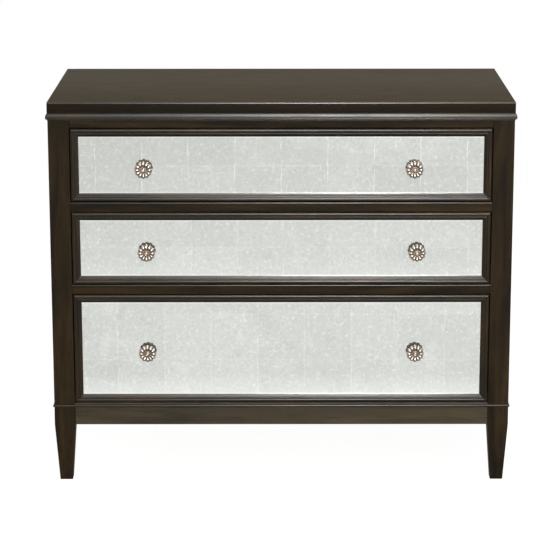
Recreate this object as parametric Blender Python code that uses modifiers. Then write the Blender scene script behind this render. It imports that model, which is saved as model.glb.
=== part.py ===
"""A bachelor's chest: three inset drawers with silvered panels in mitred mouldings, on tapered legs.

Metres, +Z up, front towards -Y. The origin is the middle of the chest's floor plan, knobs included.
Each drawer is hung on wooden runners let into its sides, and slides straight out along -Y.
"""

import math

import bmesh
import bpy
from mathutils import Matrix, Vector

# Carcass
body_width = 0.957
body_depth = 0.479
slab_thickness = 0.022
slab_overhang = 0.0012
top_rail_height = 0.0308
shallow_opening = 0.155
deep_opening = 0.236
mid_rail_height = 0.020
apron_height = 0.0477
leg_height = 0.1245
rail_thickness = 0.020
side_thickness = 0.018
post_width = 0.0435
foot_width = 0.0265
back_thickness = 0.006
back_inset = 0.007
back_tongue = 0.008

# Applied beads
top_bead_height = 0.0122
top_bead_proud = 0.0042
listel_height = 0.0024
listel_proud = 0.0011
base_bead_height = 0.0085
base_bead_proud = 0.0026
base_bead_drop = 0.0027
bead_steps = 8

# Rounded edges and running clearances
arris = 0.0012
slab_round = 0.0028
seat_gap = 0.0003
reveal = 0.0016
overrun = 0.004
weld_distance = 0.00001

# Drawer front: a board, a silvered panel on it, and a mitred moulding that holds the panel
front_thickness = 0.018
panel_thickness = 0.0035
panel_recess = 0.0035
moulding_width = 0.0168
moulding_height = 0.0102
panel_tuck = 0.006
# Outline of the moulding's face, from its outer edge to the panel, in shares of its width and height
moulding_face_shares = (
    (0.00, 0.52),
    (0.01, 0.68),
    (0.04, 0.80),
    (0.10, 0.92),
    (0.18, 0.985),
    (0.30, 1.00),
    (0.42, 0.945),
    (0.46, 0.82),
    (0.52, 0.80),
    (0.54, 0.85),
    (0.63, 0.84),
    (0.72, 0.75),
    (0.74, 0.67),
    (0.92, 0.475),
    (1.00, 0.45),
)

# Drawer box
box_side_thickness = 0.015
box_back_thickness = 0.012
bottom_thickness = 0.006
bottom_groove_depth = 0.005
bottom_lift = 0.010
box_rear_room = 0.0167
box_floor_gap = 0.008
box_head_gap = 0.022
side_play = 0.0020
tail_length = 0.010
tail_root = 0.013
tail_tip = 0.019
tail_pitch = 0.031

# Runners
runner_height = 0.018
runner_thickness = 0.009
groove_depth = 0.0083
runner_front_gap = 0.0015
runner_rear_gap = 0.004

# Knobs
knob_radius = 0.0185
knob_length = 0.021
knob_inset = 0.1553
knob_drop = 0.008
knob_sides = 36
petal_count = 12
petal_drop = 0.0016
petal_notch = 0.0015
bowl_radius = 0.0085
cup_height = 0.0115
stud_radius = 0.002
stud_length = 0.019
stud_sides = 16
# Turned outline from the front centre round the rim to the foot, in shares of the radius and the length
knob_profile_shares = (
    (0.00, 1.000),
    (0.11, 0.975),
    (0.18, 0.895),
    (0.23, 0.820),
    (0.37, 0.805),
    (0.50, 0.855),
    (0.63, 0.930),
    (0.76, 0.935),
    (0.89, 0.835),
    (0.97, 0.715),
    (1.00, 0.640),
    (0.96, 0.590),
    (0.60, 0.510),
    (0.28, 0.400),
    (0.26, 0.190),
    (0.41, 0.085),
    (0.43, 0.000),
)

# What each drawer has of its own: opening, and how far right of its measured place each knob sits
drawer_openings = (shallow_opening, shallow_opening, deep_opening)
knob_shifts = ((-0.0034, -0.0055), (0.0004, 0.0013), (0, 0))

# Levels and places that follow from the sizes above
apron_top = leg_height + apron_height
lower_rail_low = apron_top + deep_opening
lower_rail_top = lower_rail_low + mid_rail_height
upper_rail_low = lower_rail_top + shallow_opening
upper_rail_top = upper_rail_low + mid_rail_height
top_rail_low = upper_rail_top + shallow_opening
slab_low = top_rail_low + top_rail_height
chest_height = slab_low + slab_thickness
half_width = body_width / 2
opening_half = half_width - post_width
drawer_levels = (upper_rail_top, lower_rail_top, apron_top)
knob_spread = opening_half - knob_inset
moulding_seat = panel_recess + panel_thickness
board_face = moulding_seat + seat_gap
board_back = board_face + front_thickness
back_panel_face = body_depth - back_inset - back_thickness
box_back = back_panel_face - box_rear_room
front_half = opening_half - reveal
box_half = opening_half - side_play
knob_reach = knob_length + seat_gap - panel_recess
body_front = -(body_depth - knob_reach) / 2

# Colour, roughness and metallic value of each finish
finishes = {
    "espresso": ((0.030, 0.022, 0.016), 0.34, 0.0),
    "silver_leaf": ((0.62, 0.65, 0.61), 0.22, 0.85),
    "drawer_maple": ((0.52, 0.37, 0.22), 0.50, 0.0),
    "plywood": ((0.42, 0.29, 0.17), 0.60, 0.0),
    "antique_nickel": ((0.48, 0.42, 0.38), 0.30, 1.0),
}


def clear_scene():
    for thing in list(bpy.data.objects):
        bpy.data.objects.remove(thing)


def new_collection(name):
    collection = bpy.data.collections.new(name)
    bpy.context.scene.collection.children.link(collection)
    return collection


def new_finish(name, kind):
    """Its own material for one piece."""
    colour, roughness, metallic = finishes[kind]
    material = bpy.data.materials.new(f"{name}_{kind}")
    material.use_nodes = True
    shader = material.node_tree.nodes["Principled BSDF"]
    shader.inputs["Base Color"].default_value = (*colour, 1.0)
    shader.inputs["Roughness"].default_value = roughness
    shader.inputs["Metallic"].default_value = metallic
    material.diffuse_color = (*colour, 1.0)
    return material


def new_holder(name, place, holder=None):
    """An empty that carries the pieces of one assembly."""
    empty = bpy.data.objects.new(name, None)
    empty.location = place
    empty.parent = holder
    parts.objects.link(empty)
    return empty


def new_part(name, mesh, kind, holder, place=(0, 0, 0)):
    part = bpy.data.objects.new(name, mesh)
    part.location = place
    part.parent = holder
    parts.objects.link(part)
    mesh.materials.append(new_finish(name, kind))
    return part


def new_cutter(name, mesh, holder, place=(0, 0, 0)):
    cutter = bpy.data.objects.new(name, mesh)
    cutter.location = place
    cutter.parent = holder
    cutter.hide_render = True
    cutter.display_type = "WIRE"
    cutters.objects.link(cutter)
    return cutter


def box_mesh(name, size):
    mesh = bpy.data.meshes.new(name)
    form = bmesh.new()
    bmesh.ops.create_cube(form, size=1)
    bmesh.ops.scale(form, vec=size, verts=form.verts)
    form.to_mesh(mesh)
    form.free()
    return mesh


def span(low, high):
    """The size and the middle of the box between two corners."""
    low, high = Vector(low), Vector(high)
    return high - low, (low + high) / 2


def round_edges(part, width, segments=2):
    bevel = part.modifiers.new("Rounded edges", "BEVEL")
    bevel.width = width
    bevel.segments = segments
    bevel.limit_method = "ANGLE"
    bevel.angle_limit = math.radians(30)


def cut(part, cutter):
    boolean = part.modifiers.new(f"Cut {cutter.name}", "BOOLEAN")
    boolean.operation = "DIFFERENCE"
    boolean.solver = "EXACT"
    boolean.object = cutter


def board(name, low, high, kind, holder, rounding=arris):
    size, middle = span(low, high)
    part = new_part(name, box_mesh(name, size), kind, holder, middle)
    if rounding:
        round_edges(part, rounding)
    return part


def box_cutter(name, low, high, holder):
    size, middle = span(low, high)
    return new_cutter(name, box_mesh(name, size), holder, middle)


def welded(mesh):
    """The same mesh with its loose caps joined to its walls and all faces pointing out."""
    form = bmesh.new()
    form.from_mesh(mesh)
    bmesh.ops.remove_doubles(form, verts=form.verts, dist=weld_distance)
    bmesh.ops.recalc_face_normals(form, faces=form.faces)
    form.to_mesh(mesh)
    form.free()
    return mesh


def evaluated_mesh(source):
    """The mesh that a curve or a modified object makes. The source object is removed."""
    bpy.context.scene.collection.objects.link(source)
    graph = bpy.context.evaluated_depsgraph_get()
    mesh = bpy.data.meshes.new_from_object(source.evaluated_get(graph))
    bpy.data.objects.remove(source)
    return welded(mesh)


def outline_mesh(name, points, depth):
    """A flat outline in X and Y made a solid of this depth along Z."""
    curve = bpy.data.curves.new(name, "CURVE")
    curve.dimensions = "2D"
    curve.fill_mode = "BOTH"
    curve.extrude = depth / 2
    spline = curve.splines.new("POLY")
    spline.points.add(len(points) - 1)
    for point, (across, up) in zip(spline.points, points):
        point.co = (across, up, 0, 1)
    spline.use_cyclic_u = True
    return evaluated_mesh(bpy.data.objects.new(name, curve))


def strip_mesh(name, points, length, first_end, last_end, across, out):
    """A section swept along a straight length. Each end is shifted along by its own rule, as a mitre is.

    The section's two directions are given, and the length runs along their cross product.
    """
    mesh = outline_mesh(name, points, length)
    for vertex in mesh.vertices:
        place = vertex.co.copy()
        if place.z > 0:
            vertex.co.z += last_end(place.x, place.y)
        else:
            vertex.co.z -= first_end(place.x, place.y)
    across, out = Vector(across), Vector(out)
    mesh.transform(Matrix((across, out, across.cross(out))).transposed().to_4x4())
    return mesh


def make_posts(carcass):
    """Four square posts that taper on all sides into the legs."""
    post_top = slab_low - seat_gap
    for end, depth_middle in (("front", post_width / 2), ("rear", body_depth - post_width / 2)):
        for hand, side in (("left", -1), ("right", 1)):
            name = f"{end}_{hand}_post"
            mesh = bpy.data.meshes.new(name)
            form = bmesh.new()
            bmesh.ops.create_cube(form, size=1)
            bmesh.ops.translate(form, vec=(0, 0, 1 / 2), verts=form.verts)
            bmesh.ops.scale(form, vec=(post_width, post_width, post_top), verts=form.verts)
            whole = form.verts[:] + form.edges[:] + form.faces[:]
            bmesh.ops.bisect_plane(form, geom=whole, plane_co=(0, 0, leg_height), plane_no=(0, 0, 1))
            feet = [vertex for vertex in form.verts if vertex.co.z < leg_height / 2]
            taper = foot_width / post_width
            bmesh.ops.scale(form, vec=(taper, taper, 1), verts=feet)
            form.to_mesh(mesh)
            form.free()
            middle = side * (half_width - post_width / 2)
            post = new_part(name, mesh, "espresso", carcass, (middle, depth_middle, 0))
            round_edges(post, arris)
            if end == "rear":
                inner = side * opening_half
                far = side * (opening_half + back_tongue + seat_gap)
                near = inner - side * overrun
                groove = box_cutter(
                    f"{hand}_back_groove",
                    (min(near, far), back_panel_face - seat_gap, leg_height - seat_gap),
                    (max(near, far), back_panel_face + back_thickness + seat_gap, post_top + overrun),
                    carcass,
                )
                cut(post, groove)


def make_carcass(carcass):
    """Slab, rails, apron, side panels and back."""
    board(
        "top_slab",
        (-half_width - slab_overhang, 0, slab_low),
        (half_width + slab_overhang, body_depth, chest_height),
        "espresso",
        carcass,
        rounding=0,
    )
    round_edges(bpy.data.objects["top_slab"], slab_round, segments=3)
    rail_half = opening_half - seat_gap
    rails = (
        ("top_rail", top_rail_low, slab_low - seat_gap),
        ("upper_drawer_rail", upper_rail_low, upper_rail_top),
        ("lower_drawer_rail", lower_rail_low, lower_rail_top),
        ("front_apron", leg_height, apron_top),
    )
    for name, low, top in rails:
        board(name, (-rail_half, 0, low), (rail_half, rail_thickness, top), "espresso", carcass)
    panel_near = post_width + seat_gap
    panel_far = body_depth - post_width - seat_gap
    for hand, side in (("left", -1), ("right", 1)):
        outer = side * half_width
        inner = side * (half_width - side_thickness)
        board(
            f"{hand}_side_panel",
            (min(outer, inner), panel_near, leg_height),
            (max(outer, inner), panel_far, slab_low - seat_gap),
            "espresso",
            carcass,
        )
    back_half = opening_half + back_tongue
    board(
        "back_panel",
        (-back_half, back_panel_face, leg_height),
        (back_half, back_panel_face + back_thickness, slab_low - seat_gap),
        "plywood",
        carcass,
        rounding=0,
    )


def bead_outline(height, proud, listel, listel_out):
    """Half-round bead above a small flat listel, as (up, out) from its foot at the back."""
    points = [(0, seat_gap)]
    if listel:
        points += [(0, listel_out), (listel, listel_out)]
    for step in range(bead_steps + 1):
        turn = math.pi * step / bead_steps
        points.append(
            (
                listel + height * (1 - math.cos(turn)) / 2,
                seat_gap + (proud - seat_gap) * math.sin(turn),
            )
        )
    return [point for place, point in enumerate(points) if point not in points[:place]]


def make_bead(name, low, outline, carcass):
    """A bead round the front and both sides, mitred at the front corners."""
    ease = seat_gap / math.sqrt(2)

    def mitre(up, out):
        return out - ease

    def square(up, out):
        return 0

    middle_depth = body_depth / 2
    runs = (
        ("front", body_width, mitre, mitre, (0, -1, 0), (0, 0, low)),
        ("right", body_depth, mitre, square, (1, 0, 0), (half_width, middle_depth, low)),
        ("left", body_depth, square, mitre, (-1, 0, 0), (-half_width, middle_depth, low)),
    )
    for hand, length, first_end, last_end, out, place in runs:
        part_name = f"{name}_{hand}"
        mesh = strip_mesh(part_name, outline, length, first_end, last_end, (0, 0, 1), out)
        new_part(part_name, mesh, "espresso", carcass, place)


def moulding_outline():
    """Section of the drawer moulding, as (inwards, out) from its outer back corner."""
    rebate = moulding_width - panel_tuck - seat_gap
    lip = panel_thickness + seat_gap
    points = [(0, 0)]
    points += [(moulding_width * wide, moulding_height * high) for wide, high in moulding_face_shares]
    points += [(moulding_width, lip), (rebate, lip), (rebate, 0)]
    return points


def make_moulding(drawer, opening, holder):
    """Four strips mitred round the drawer's front."""
    ease = seat_gap / math.sqrt(2)

    def mitre(inwards, out):
        return -inwards - ease

    width, height = 2 * front_half, opening - 2 * reveal
    out = (0, -1, 0)
    runs = (
        ("top", width, (0, 0, -1), (0, moulding_seat, opening - reveal)),
        ("bottom", width, (0, 0, 1), (0, moulding_seat, reveal)),
        ("left", height, (1, 0, 0), (-front_half, moulding_seat, opening / 2)),
        ("right", height, (-1, 0, 0), (front_half, moulding_seat, opening / 2)),
    )
    for hand, length, inwards, place in runs:
        name = f"{drawer}_moulding_{hand}"
        mesh = strip_mesh(name, moulding_outline(), length, mitre, mitre, inwards, out)
        new_part(name, mesh, "espresso", holder, place)


def tail_middles(low, high):
    """Heights of the dovetails on one end of a drawer side, spread evenly."""
    count = max(2, round((high - low) / tail_pitch))
    return [low + (high - low) * (place + 1 / 2) / count for place in range(count)]


def tail_points(root, tip, middle, ease):
    """One tail's corners (depth, height), widened by the ease. Its tip lies before or behind its root."""
    return [
        (root, middle - tail_root / 2 - ease),
        (tip, middle - tail_tip / 2 - ease),
        (tip, middle + tail_tip / 2 + ease),
        (root, middle + tail_root / 2 + ease),
    ]


# Turns an outline drawn in X and Y into one in depth and height, with its thickness across the chest
side_turn = Matrix(((0, 0, 1), (1, 0, 0), (0, 1, 0))).to_4x4()


def socket_mesh(name, root, tip, beyond, middles, thickness):
    """All the sockets that one row of tails needs, as one cutter that reaches past both ends of the tails."""
    form = bmesh.new()
    past_root = root + math.copysign(overrun, root - tip)
    past_tip = tip + math.copysign(beyond, tip - root)
    for middle in middles:
        root_low, tip_low, tip_high, root_high = tail_points(root, tip, middle, seat_gap)
        points = [(past_root, root_low[1]), root_low, tip_low, (past_tip, tip_low[1])]
        points += [(past_tip, tip_high[1]), tip_high, root_high, (past_root, root_high[1])]
        form.from_mesh(outline_mesh(name, points, thickness))
    mesh = bpy.data.meshes.new(name)
    form.to_mesh(mesh)
    form.free()
    mesh.transform(side_turn)
    return mesh


def make_box(drawer, opening, holder):
    """The drawer's board, sides, back and bottom, with dovetails, and grooves for bottom and runners."""
    height = opening - reveal
    side_low = box_floor_gap
    side_high = opening - box_head_gap
    front_root = board_back + seat_gap
    rear_root = box_back - box_back_thickness - seat_gap
    back_low = side_low + bottom_lift + bottom_thickness + seat_gap
    middles = tail_middles(side_low, side_high)
    rear_middles = tail_middles(back_low, side_high)
    front = board(
        f"{drawer}_front_board",
        (-front_half, board_face, reveal),
        (front_half, board_back, height),
        "espresso",
        holder,
    )
    back = board(
        f"{drawer}_back",
        (-box_half, box_back - box_back_thickness, back_low),
        (box_half, box_back, side_high),
        "drawer_maple",
        holder,
        rounding=0,
    )
    groove_low = side_low + bottom_lift - seat_gap
    groove_high = side_low + bottom_lift + bottom_thickness + seat_gap
    front_groove = box_cutter(
        f"{drawer}_front_groove",
        (-box_half + box_side_thickness - bottom_groove_depth, board_back - bottom_groove_depth, groove_low),
        (box_half - box_side_thickness + bottom_groove_depth, board_back + overrun, groove_high),
        holder,
    )
    cut(front, front_groove)
    outline = [(front_root, side_low)]
    for middle in middles:
        outline += tail_points(front_root, board_back - tail_length, middle, 0)
    outline += [(front_root, side_high), (rear_root, side_high)]
    for middle in reversed(rear_middles):
        outline += reversed(tail_points(rear_root, box_back, middle, 0))
    outline += [(rear_root, side_low)]
    runner_low = (side_low + side_high - runner_height) / 2
    for hand, side in (("left", -1), ("right", 1)):
        side_middle = side * (box_half - box_side_thickness / 2)
        name = f"{drawer}_side_{hand}"
        mesh = outline_mesh(name, outline, box_side_thickness)
        mesh.transform(side_turn)
        part = new_part(name, mesh, "drawer_maple", holder, (side_middle, 0, 0))
        outer = side * (box_half + overrun)
        groove_floor = side * (box_half - groove_depth)
        runner_groove = box_cutter(
            f"{drawer}_runner_groove_{hand}",
            (min(outer, groove_floor), board_back - tail_length - overrun, runner_low - seat_gap),
            (max(outer, groove_floor), box_back + overrun, runner_low + runner_height + seat_gap),
            holder,
        )
        cut(part, runner_groove)
        cut(back, runner_groove)
        inner = side * (box_half - box_side_thickness - overrun)
        bottom_floor = side * (box_half - box_side_thickness + bottom_groove_depth)
        bottom_groove = box_cutter(
            f"{drawer}_bottom_groove_{hand}",
            (min(inner, bottom_floor), board_back - tail_length - overrun, groove_low),
            (max(inner, bottom_floor), box_back + overrun, groove_high),
            holder,
        )
        cut(part, bottom_groove)
        socket_reach = box_side_thickness + seat_gap + overrun
        socket_middle = side * (box_half - box_side_thickness - seat_gap + socket_reach / 2)
        for board_part, root, tip, beyond, rows, end in (
            (front, front_root, board_back - tail_length, seat_gap, middles, "front"),
            (back, rear_root, box_back, overrun, rear_middles, "rear"),
        ):
            sockets = socket_mesh(f"{drawer}_{end}_sockets_{hand}", root, tip, beyond, rows, socket_reach)
            cut(board_part, new_cutter(sockets.name, sockets, holder, (socket_middle, 0, 0)))
    bottom_half = box_half - box_side_thickness + bottom_groove_depth - seat_gap
    board(
        f"{drawer}_bottom",
        (-bottom_half, board_back - bottom_groove_depth + seat_gap, groove_low + seat_gap),
        (bottom_half, box_back, groove_high - seat_gap),
        "plywood",
        holder,
        rounding=0,
    )
    return front, runner_low


def petal(turn):
    """1 on a petal's ridge and 0 in the valley between two."""
    return abs(math.sin(turn * petal_count / 2))


def knob_mesh(name):
    """A turned knob with a stud at its back, whose flared head is pressed into petals. Its axis is Z."""
    profile = bpy.data.meshes.new(f"{name}_profile")
    points = [(knob_radius * wide, knob_length * far) for wide, far in knob_profile_shares]
    points += [(stud_radius, 0), (stud_radius, -stud_length), (0, -stud_length)]
    vertices = [(radius, 0, height) for radius, height in points]
    edges = [(place, place + 1) for place in range(len(points) - 1)]
    profile.from_pydata(vertices, edges, [])
    turned = bpy.data.objects.new(name, profile)
    screw = turned.modifiers.new("Turning", "SCREW")
    screw.steps = knob_sides
    screw.render_steps = knob_sides
    screw.use_merge_vertices = True
    screw.merge_threshold = weld_distance
    mesh = evaluated_mesh(turned)
    for vertex in mesh.vertices:
        radius = math.hypot(vertex.co.x, vertex.co.y)
        if radius <= bowl_radius or vertex.co.z < cup_height:
            continue
        reach = (radius - bowl_radius) / (knob_radius - bowl_radius)
        valley = 1 - petal(math.atan2(vertex.co.y, vertex.co.x))
        narrowed = (radius - petal_notch * reach * valley) / radius
        vertex.co.x *= narrowed
        vertex.co.y *= narrowed
        if vertex.co.z > (cup_height + knob_length) / 2:
            vertex.co.z -= petal_drop * math.sin(math.pi * min(1, reach * 3 / 4)) * valley
    mesh.shade_smooth()
    mesh.set_sharp_from_angle(angle=math.radians(50))
    ridge_up = Matrix.Rotation(math.pi / petal_count, 4, "Z")
    mesh.transform(Matrix.Rotation(math.radians(90), 4, "X") @ ridge_up)
    return mesh


def stud_cutter(name, place, depth, holder):
    """A round hole through panel and board for a knob's stud."""
    mesh = bpy.data.meshes.new(name)
    form = bmesh.new()
    radius = stud_radius + seat_gap
    bmesh.ops.create_cone(
        form, cap_ends=True, segments=stud_sides, radius1=radius, radius2=radius, depth=depth
    )
    form.to_mesh(mesh)
    form.free()
    mesh.transform(Matrix.Rotation(math.radians(90), 4, "X"))
    return new_cutter(name, mesh, holder, place)


def make_knobs(drawer, opening, shifts, front, panel, holder):
    """A pair of knobs, and the holes for their studs."""
    hole_depth = 2 * (panel_thickness + front_thickness + overrun)
    for (hand, side), shift in zip((("left", -1), ("right", 1)), shifts):
        across = side * knob_spread + shift
        up = opening / 2 - knob_drop
        name = f"{drawer}_knob_{hand}"
        new_part(name, knob_mesh(name), "antique_nickel", holder, (across, panel_recess - seat_gap, up))
        hole = stud_cutter(f"{name}_hole", (across, panel_recess, up), hole_depth, holder)
        cut(front, hole)
        cut(panel, hole)


def make_runners(drawer, holder, runner_low):
    """A hardwood runner each side, fixed to the front and the rear post."""
    for hand, side in (("left", -1), ("right", 1)):
        outer = side * (opening_half - seat_gap)
        inner = side * (opening_half - seat_gap - runner_thickness)
        board(
            f"{drawer}_runner_{hand}",
            (min(outer, inner), board_back + runner_front_gap, runner_low),
            (max(outer, inner), back_panel_face - runner_rear_gap, runner_low + runner_height),
            "drawer_maple",
            holder,
            rounding=0,
        )


def make_drawer(number, carcass):
    drawer = f"drawer_{number}"
    opening = drawer_openings[number - 1]
    level = drawer_levels[number - 1]
    holder = new_holder(f"{drawer}_slide", (0, 0, level), carcass)
    front, runner_low = make_box(drawer, opening, holder)
    panel_half = front_half - moulding_width + panel_tuck
    panel_low = reveal + moulding_width - panel_tuck
    panel = board(
        f"{drawer}_silver_panel",
        (-panel_half, panel_recess, panel_low),
        (panel_half, moulding_seat, opening - panel_low),
        "silver_leaf",
        holder,
        rounding=0,
    )
    make_moulding(drawer, opening, holder)
    make_knobs(drawer, opening, knob_shifts[number - 1], front, panel, holder)
    make_runners(drawer, carcass, level + runner_low)


clear_scene()
parts = new_collection("bachelors_chest")
cutters = new_collection("cutters")
chest = new_holder("carcass", (0, body_front, 0))
make_posts(chest)
make_carcass(chest)
make_bead(
    "top_bead",
    slab_low - top_bead_height - listel_height,
    bead_outline(top_bead_height, top_bead_proud, listel_height, listel_proud),
    chest,
)
make_bead(
    "base_bead",
    apron_top - base_bead_drop - base_bead_height,
    bead_outline(base_bead_height, base_bead_proud, 0, 0),
    chest,
)
for drawer_number in (1, 2, 3):
    make_drawer(drawer_number, chest)
print(f"Height {chest_height:.4f}, width {body_width + 2 * top_bead_proud:.4f}, front at {body_front:.4f}")
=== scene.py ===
# %% [markdown]
# # A bachelor's chest with silvered drawer fronts
#
# The frame holds the finished construction of the chest in metres, with +Z up and the front towards -Y:
# posts, rails, boards, runners and dovetailed drawer boxes. Everything in this lesson is placed from that
# frame, so nothing is fitted by eye.

import math

import bmesh
import bpy
from mathutils import Matrix, Vector


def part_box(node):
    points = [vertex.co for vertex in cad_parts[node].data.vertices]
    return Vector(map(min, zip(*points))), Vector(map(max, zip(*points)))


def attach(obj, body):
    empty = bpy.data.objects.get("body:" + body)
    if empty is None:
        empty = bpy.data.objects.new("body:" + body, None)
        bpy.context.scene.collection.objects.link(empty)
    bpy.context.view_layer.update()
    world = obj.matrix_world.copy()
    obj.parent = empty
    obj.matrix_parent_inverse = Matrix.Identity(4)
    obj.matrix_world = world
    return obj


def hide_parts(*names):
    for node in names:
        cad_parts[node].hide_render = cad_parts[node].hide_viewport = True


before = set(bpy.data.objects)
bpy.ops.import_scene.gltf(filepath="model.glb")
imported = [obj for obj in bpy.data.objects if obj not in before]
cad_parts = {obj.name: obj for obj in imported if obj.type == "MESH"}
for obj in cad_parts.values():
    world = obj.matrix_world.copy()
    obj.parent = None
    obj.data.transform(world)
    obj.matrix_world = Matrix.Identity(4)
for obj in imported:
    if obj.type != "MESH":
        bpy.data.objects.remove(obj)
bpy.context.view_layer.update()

# %% [markdown]
# ## The camera
#
# The chest is seen from the front and a little above with a long lens, so its sides barely show. Focal
# length, place and tilt were worked out from the corners of the top, the body and the feet. The three
# turns are combined as matrices because roll comes first, about the line of sight, then the tilt down,
# and the turn to the side last.

# %% Camera
image_pixels = 560
focal_pixels = 2265.06
camera_place = Vector((-0.00513, -4.80909, 1.54426))
camera_yaw, camera_pitch, camera_roll = 0.00053, 0.23706, -0.00056

lens = bpy.data.cameras.new("view_camera")
lens.sensor_width = 36.0
lens.lens = lens.sensor_width * focal_pixels / image_pixels
camera = bpy.data.objects.new("view_camera", lens)
bpy.context.scene.collection.objects.link(camera)
camera.matrix_world = (
    Matrix.Translation(camera_place)
    @ Matrix.Rotation(-camera_yaw, 4, "Z")
    @ Matrix.Rotation(math.pi / 2 - camera_pitch, 4, "X")
    @ Matrix.Rotation(camera_roll, 4, "Z")
)
bpy.context.scene.camera = camera
bpy.context.scene.view_settings.view_transform = "Standard"
print(f"Lens {lens.lens:.1f} mm, camera {-camera_place.y:.2f} m in front and {camera_place.z:.2f} m up")

# %% [markdown]
# ## Helpers for node trees
#
# Every finish here is a small node tree. Two helpers keep the trees readable: one adds a node and sets
# it up in the same line, and one makes a new finish with its main shader already set to the values that
# are the same all over the surface. The others each stand for one common step: blend two colours,
# stretch a range of numbers, combine two numbers, make noise, and turn a height into relief.

# %% Node helpers
def add_node(tree, kind, inputs=(), **settings):
    """A new node: settings are its properties, and inputs give sockets a value or another output."""
    node = tree.nodes.new(kind)
    for name, value in settings.items():
        setattr(node, name, value)
    for socket, value in dict(inputs).items():
        if isinstance(value, bpy.types.NodeSocket):
            tree.links.new(value, node.inputs[socket])
        else:
            node.inputs[socket].default_value = value
    return node


def new_finish(name, **values):
    """A new material, its node tree and its main shader with these values on its sockets."""
    material = bpy.data.materials.new(name)
    material.use_nodes = True
    tree = material.node_tree
    shader = tree.nodes["Principled BSDF"]
    for socket, value in values.items():
        shader.inputs[socket.replace("_", " ")].default_value = value
    return material, tree, shader


print("Node helpers are ready")


# %% Pattern helpers
def blend_colours(tree, share, low, high):
    """A colour that goes from low to high as the share goes from 0 to 1."""
    inputs = {"Factor": share, 6: low, 7: high}
    return add_node(tree, "ShaderNodeMix", inputs, data_type="RGBA").outputs[2]


def rescaled(tree, value, low, high, new_low=0.0, new_high=1.0):
    """The value with low to high stretched over new_low to new_high, and clamped there."""
    inputs = {"Value": value, 1: low, 2: high, 3: new_low, 4: new_high}
    return add_node(tree, "ShaderNodeMapRange", inputs).outputs[0]


def combined(tree, operation, first, second=0.0):
    """Two numbers combined by one arithmetic operation."""
    return add_node(tree, "ShaderNodeMath", {0: first, 1: second}, operation=operation).outputs[0]


def patterned(tree, place, scale, detail=2.0, roughness=0.5, distortion=0.0):
    """Soft noise from 0 to 1 at this many waves a metre."""
    inputs = {"Vector": place, "Scale": scale, "Detail": detail}
    inputs.update({"Roughness": roughness, "Distortion": distortion})
    return add_node(tree, "ShaderNodeTexNoise", inputs).outputs["Fac"]


def relief(tree, height, depth, strength=1.0, under=None):
    """A normal shaped by a height of this depth in metres, on top of another relief if one is given."""
    inputs = {"Height": height, "Distance": depth, "Strength": strength}
    if under is not None:
        inputs["Normal"] = under
    return add_node(tree, "ShaderNodeBump", inputs).outputs[0]


print("Pattern helpers are ready")

# %% [markdown]
# ## The studio
#
# A plain pale floor and soft lamps. The ground behind the chest is white because the floor and the world
# show white to the camera and to reflections. Part of the floor's brightness still comes from the lamps,
# so the chest keeps a soft shadow there.
#
# Wide lamps in front, above and at both sides light the wood and the leaf at a plain level. Beside the
# front lamp hangs a tall narrow one that lights nothing but the shine, so pale wood isn't burnt out by
# it. Every round edge of the dark wood mirrors that strip, and this draws the thin pale lines along the
# mouldings, which are brightest right of the middle and fade towards both ends.

# %% Floor
floor_half_size = 20.0
floor_colour = (0.80, 0.80, 0.79, 1.0)
shade_colour = (0.15, 0.15, 0.15, 1.0)
floor_glow = 0.955
white = (1.0, 1.0, 1.0, 1.0)


def seen_directly(tree):
    """1 where the camera, a reflection or a clear material looks at the surface, and 0 for lighting."""
    path = add_node(tree, "ShaderNodeLightPath").outputs
    seen = combined(tree, "MAXIMUM", path["Is Camera Ray"], path["Is Glossy Ray"])
    return combined(tree, "MAXIMUM", seen, path["Is Transmission Ray"])


floor_finish = bpy.data.materials.new("studio_floor")
floor_finish.use_nodes = True
tree = floor_finish.node_tree
tree.nodes.remove(tree.nodes["Principled BSDF"])
lit_floor = add_node(tree, "ShaderNodeBsdfDiffuse", {"Color": floor_colour})
shadow_floor = add_node(tree, "ShaderNodeBsdfDiffuse", {"Color": shade_colour})
pale_floor = add_node(tree, "ShaderNodeEmission", {"Color": white, "Strength": floor_glow})
pale_with_shadow = add_node(
    tree,
    "ShaderNodeAddShader",
    {0: shadow_floor.outputs[0], 1: pale_floor.outputs[0]},
)
floor_shader = add_node(
    tree,
    "ShaderNodeMixShader",
    {"Fac": seen_directly(tree), 1: lit_floor.outputs[0], 2: pale_with_shadow.outputs[0]},
)
tree.links.new(floor_shader.outputs[0], tree.nodes["Material Output"].inputs["Surface"])

bpy.ops.object.select_all(action="DESELECT")
bpy.ops.mesh.primitive_plane_add(size=2 * floor_half_size, location=(0, 0, 0))
floor = bpy.context.object
floor.name = "studio_floor"
floor.data.materials.append(floor_finish)
print(f"Floor: {floor.dimensions.x:.0f} m square")

# %% World
room_colour = (0.95, 0.97, 1.0, 1.0)
room_light = 0.28

world = bpy.data.worlds.new("studio")
bpy.context.scene.world = world
world.use_nodes = True
tree = world.node_tree
soft_room = tree.nodes["Background"]
soft_room.inputs["Color"].default_value = room_colour
soft_room.inputs["Strength"].default_value = room_light
white_room = add_node(tree, "ShaderNodeBackground", {"Color": white, "Strength": 1.0})
room = add_node(
    tree,
    "ShaderNodeMixShader",
    {"Fac": seen_directly(tree), 1: soft_room.outputs[0], 2: white_room.outputs[0]},
)
tree.links.new(room.outputs[0], tree.nodes["World Output"].inputs["Surface"])
print(f"World: soft light of {room_light}, seen as white")


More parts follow.
